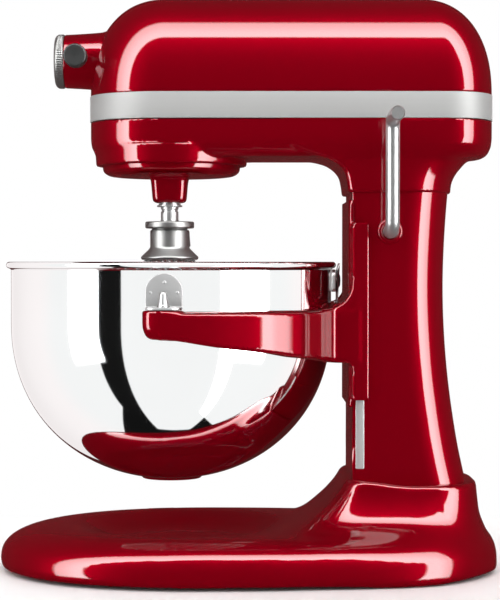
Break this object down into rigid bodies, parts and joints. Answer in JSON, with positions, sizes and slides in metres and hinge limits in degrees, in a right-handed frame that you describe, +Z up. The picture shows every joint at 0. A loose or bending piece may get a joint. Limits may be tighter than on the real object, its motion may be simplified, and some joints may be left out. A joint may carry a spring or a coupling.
{
  "type": "stand mixer",
  "caption": "Bowl-lift stand mixer with a planetary drive in a fixed head, a steel bowl on a lifting carriage, a bent lift lever and a wire whisk.",
  "frame": {"origin": "on the floor, under the middle of the whole mixer's box", "axes": "+Z up; the head points along -X; the lift lever is on the -Y side and the speed lever on the +Y side"},
  "size_m": [0.367, 0.2818, 0.4193],
  "materials": {
    "red_paint": "deep glossy enamel",
    "brushed_steel": "brushed",
    "polished_steel": "mirror polished",
    "machined_steel": "machined",
    "black_plastic": "satin",
    "rubber": "matt",
    "bronze": "cast and machined",
    "stator_iron": "laminations with copper windings",
    "aluminium": "cast",
    "nylon": "moulded",
    "board": "lacquered board"
  },
  "bodies": {
    "stand": {"base": "red_paint", "column": "red_paint", "lever_bush_near": "red_paint", "lever_bush_far": "red_paint", "head_lower_housing": "red_paint", "head_top_cover": "red_paint", "rubber_foot_1": "rubber", "rubber_foot_2": "rubber", "rubber_foot_3": "rubber", "rubber_foot_4": "rubber", "rubber_foot_5": "rubber", "column_bolt_1": "machined_steel", "column_bolt_2": "machined_steel", "column_bolt_3": "machined_steel", "column_bolt_4": "machined_steel", "motor_bearing_front": "machined_steel", "motor_bearing_rear": "machined_steel", "ring_gear": "machined_steel", "slide_rail_near": "brushed_steel", "slide_rail_far": "brushed_steel", "trim_band": "brushed_steel", "cord_gland": "black_plastic", "speed_plate": "black_plastic", "brush_holder_near": "black_plastic", "brush_holder_far": "black_plastic", "hub_bearing": "bronze", "centre_bearing": "bronze", "stator": "stator_iron", "motor_bracket_front": "aluminium", "motor_bracket_rear": "aluminium", "gear_bracket": "aluminium", "control_board": "board"},
    "armature": {"armature": "machined_steel", "cooling_fan": "nylon"},
    "worm_wheel_shaft": {"worm_wheel": "bronze", "wheel_shaft": "machined_steel"},
    "planetary": {"planetary_hub": "red_paint", "centre_shaft": "machined_steel", "centre_gear": "machined_steel"},
    "hub_drive": {"hub_drive": "machined_steel"},
    "beater_spindle": {"beater_shaft": "polished_steel", "planet_pinion": "machined_steel", "cross_pin": "machined_steel", "retaining_washer": "polished_steel"},
    "whisk": {"whisk_hub": "brushed_steel", "whisk_wires": "polished_steel"},
    "carriage": {"carriage": "red_paint", "locating_pin_near": "polished_steel", "locating_pin_far": "polished_steel", "latch_spring": "brushed_steel", "lift_bracket": "machined_steel"},
    "bowl": {"bowl": "polished_steel", "bowl_ear_near": "brushed_steel", "bowl_ear_far": "brushed_steel", "bowl_rear_bracket": "brushed_steel"},
    "lever": {"lift_lever": "polished_steel", "lift_crank": "machined_steel"},
    "hub_knob": {"hub_knob": "black_plastic"},
    "hub_cap": {"hub_cap": "brushed_steel"},
    "speed_lever": {"speed_lever": "black_plastic"}
  },
  "joints": [
    {"name": "lift_slide", "type": "slide", "parent": "stand", "child": "carriage", "axis": [0, 0, 1], "range_m": [-0.045, 0]},
    {"name": "bowl_lift_off", "type": "slide", "parent": "carriage", "child": "bowl", "axis": [0, 0, 1], "range_m": [0, 0.012]},
    {"name": "lever_turn", "type": "hinge", "parent": "stand", "child": "lever", "pos_m": [0.1, 0, 0.248], "axis": [0, 1, 0], "range_deg": [0, 110]},
    {"name": "planetary_spin", "type": "hinge", "parent": "stand", "child": "planetary", "pos_m": [-0.058, 0, 0.29], "axis": [0, 0, 1], "continuous": true},
    {"name": "beater_spin", "type": "hinge", "parent": "planetary", "child": "beater_spindle", "pos_m": [-0.058, -0.032, 0.27], "axis": [0, 0, 1], "continuous": true},
    {"name": "whisk_push", "type": "slide", "parent": "beater_spindle", "child": "whisk", "axis": [0, 0, 1], "range_m": [0, 0.004]},
    {"name": "worm_wheel_spin", "type": "hinge", "parent": "stand", "child": "worm_wheel_shaft", "pos_m": [-0.01528, 0.025, 0.362], "axis": [0, 0, 1], "continuous": true},
    {"name": "armature_spin", "type": "hinge", "parent": "stand", "child": "armature", "pos_m": [0, 0, 0.362], "axis": [1, 0, 0], "continuous": true},
    {"name": "hub_drive_spin", "type": "hinge", "parent": "stand", "child": "hub_drive", "pos_m": [-0.1, 0, 0.374], "axis": [1, 0, 0], "continuous": true},
    {"name": "hub_knob_turn", "type": "hinge", "parent": "stand", "child": "hub_knob", "pos_m": [-0.1253, -0.035, 0.374], "axis": [0, 1, 0], "range_deg": [0, 360]},
    {"name": "hub_cap_pull", "type": "slide", "parent": "stand", "child": "hub_cap", "axis": [-1, 0, 0], "range_m": [0, 0.03]},
    {"name": "speed_lever_swing", "type": "hinge", "parent": "stand", "child": "speed_lever", "pos_m": [0.058, 0.014, 0.318], "axis": [0, 0, 1], "range_deg": [0, 40]}
  ],
  "couplings": [
    {"joint": "lever_turn", "follows": "lift_slide", "rad_per_m": -42.66},
    {"joint": "beater_spin", "follows": "planetary_spin", "ratio": -3.5},
    {"joint": "worm_wheel_spin", "follows": "planetary_spin", "ratio": -3.7143},
    {"joint": "armature_spin", "follows": "planetary_spin", "ratio": 70.571},
    {"joint": "hub_drive_spin", "follows": "planetary_spin", "ratio": -1.6}
  ]
}
